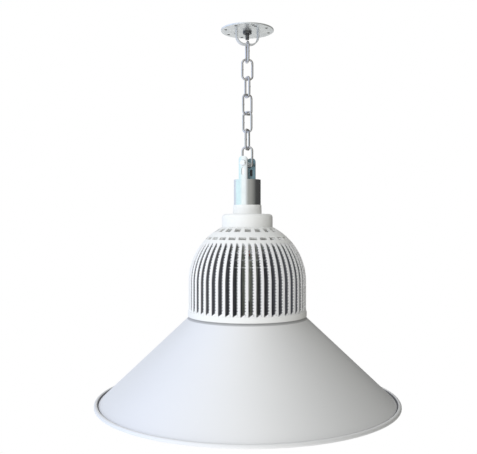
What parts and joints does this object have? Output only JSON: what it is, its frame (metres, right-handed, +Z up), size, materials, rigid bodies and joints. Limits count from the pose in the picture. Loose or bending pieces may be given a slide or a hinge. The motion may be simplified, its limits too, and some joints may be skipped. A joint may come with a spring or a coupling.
{
  "type": "high bay light",
  "caption": "Hanging high bay light: ceiling plate, welded chain, slotted tube bracket, finned heat sink and wide cone reflector over a frosted glass.",
  "frame": {"origin": "centre of the ceiling plate's top face", "axes": "+Z up out of the ceiling face, the light hangs towards -Z; -Y is the side that faces a viewer"},
  "size_m": [0.4099, 0.41, 0.5048],
  "materials": {
    "zinc_plate": "zinc plated",
    "dark_steel": "blackened steel",
    "zinc_chain": "zinc plated wire",
    "zinc_tube": "bright plated steel",
    "zinc_fastener": "zinc plated",
    "white_coat": "white powder coat on cast aluminium",
    "fin_coat": "white powder coat, thin to bare metal between the fins",
    "spun_aluminium": "satin spun aluminium",
    "driver_can": "plain aluminium",
    "circuit_board": "glass-fibre board",
    "driver_potting": "wound coil and capacitors",
    "black_rubber": "rubber",
    "red_insulation": "PVC insulation",
    "black_insulation": "PVC insulation",
    "led_board": "white solder mask on aluminium",
    "led_phosphor": "phosphor over chips",
    "grey_rubber": "silicone rubber",
    "frosted_glass": "frosted toughened glass",
    "white_ring": "white powder coat"
  },
  "bodies": {
    "ceiling_mount": {"ceiling_plate": "zinc_plate", "plate_strap": "zinc_plate", "centre_stud": "dark_steel", "stud_nut": "dark_steel"},
    "link_1": {"chain_link_1": "zinc_chain"},
    "link_2": {"chain_link_2": "zinc_chain"},
    "link_3": {"chain_link_3": "zinc_chain"},
    "link_4": {"chain_link_4": "zinc_chain"},
    "link_5": {"chain_link_5": "zinc_chain"},
    "link_6": {"chain_link_6": "zinc_chain"},
    "link_7": {"chain_link_7": "zinc_chain"},
    "lamp": {"hanger_bracket": "zinc_tube", "hanger_bolt": "zinc_fastener", "hanger_nut": "zinc_fastener", "neck_collar": "white_coat", "cap_collar": "white_coat", "vent_cap": "white_coat", "base_casting": "white_coat", "heat_sink": "fin_coat", "reflector": "spun_aluminium", "driver_lid": "driver_can", "driver_case": "driver_can", "driver_board": "circuit_board", "driver_parts": "driver_potting", "case_screws": "zinc_fastener", "cap_screws": "zinc_fastener", "tie_rods": "zinc_fastener", "board_screws": "zinc_fastener", "clamp_screws": "zinc_fastener", "cable_grommet": "black_rubber", "red_lead": "red_insulation", "black_lead": "black_insulation", "led_board": "led_board", "led_chips": "led_phosphor", "lens_gasket": "grey_rubber", "lens": "frosted_glass", "lens_ring": "white_ring"}
  },
  "joints": [
    {"name": "link_1_swing", "type": "hinge", "parent": "ceiling_mount", "child": "link_1", "pos_m": [0, 0, -0.01698], "axis": [-0.2079, 0.9781, 0], "range_deg": [-25, 25]},
    {"name": "link_2_swing", "type": "hinge", "parent": "link_1", "child": "link_2", "pos_m": [0, 0, -0.04398], "axis": [-0.2079, 0.9781, 0], "range_deg": [-25, 25]},
    {"name": "link_3_swing", "type": "hinge", "parent": "link_2", "child": "link_3", "pos_m": [0, 0, -0.06783], "axis": [0.9781, 0.2079, 0], "range_deg": [-25, 25]},
    {"name": "link_4_swing", "type": "hinge", "parent": "link_3", "child": "link_4", "pos_m": [0, 0, -0.09168], "axis": [-0.3746, 0.9272, 0], "range_deg": [-25, 25]},
    {"name": "link_5_swing", "type": "hinge", "parent": "link_4", "child": "link_5", "pos_m": [0, 0, -0.11553], "axis": [0.809, 0.5878, 0], "range_deg": [-25, 25]},
    {"name": "link_6_swing", "type": "hinge", "parent": "link_5", "child": "link_6", "pos_m": [0, 0, -0.13938], "axis": [0.7771, -0.6293, 0], "range_deg": [-25, 25]},
    {"name": "link_7_swing", "type": "hinge", "parent": "link_6", "child": "link_7", "pos_m": [0, 0, -0.16323], "axis": [0.342, 0.9397, 0], "range_deg": [-25, 25]},
    {"name": "lamp_swing", "type": "hinge", "parent": "link_7", "child": "lamp", "pos_m": [0, 0, -0.18293], "axis": [0.342, 0.9397, 0], "range_deg": [-30, 30]}
  ]
}
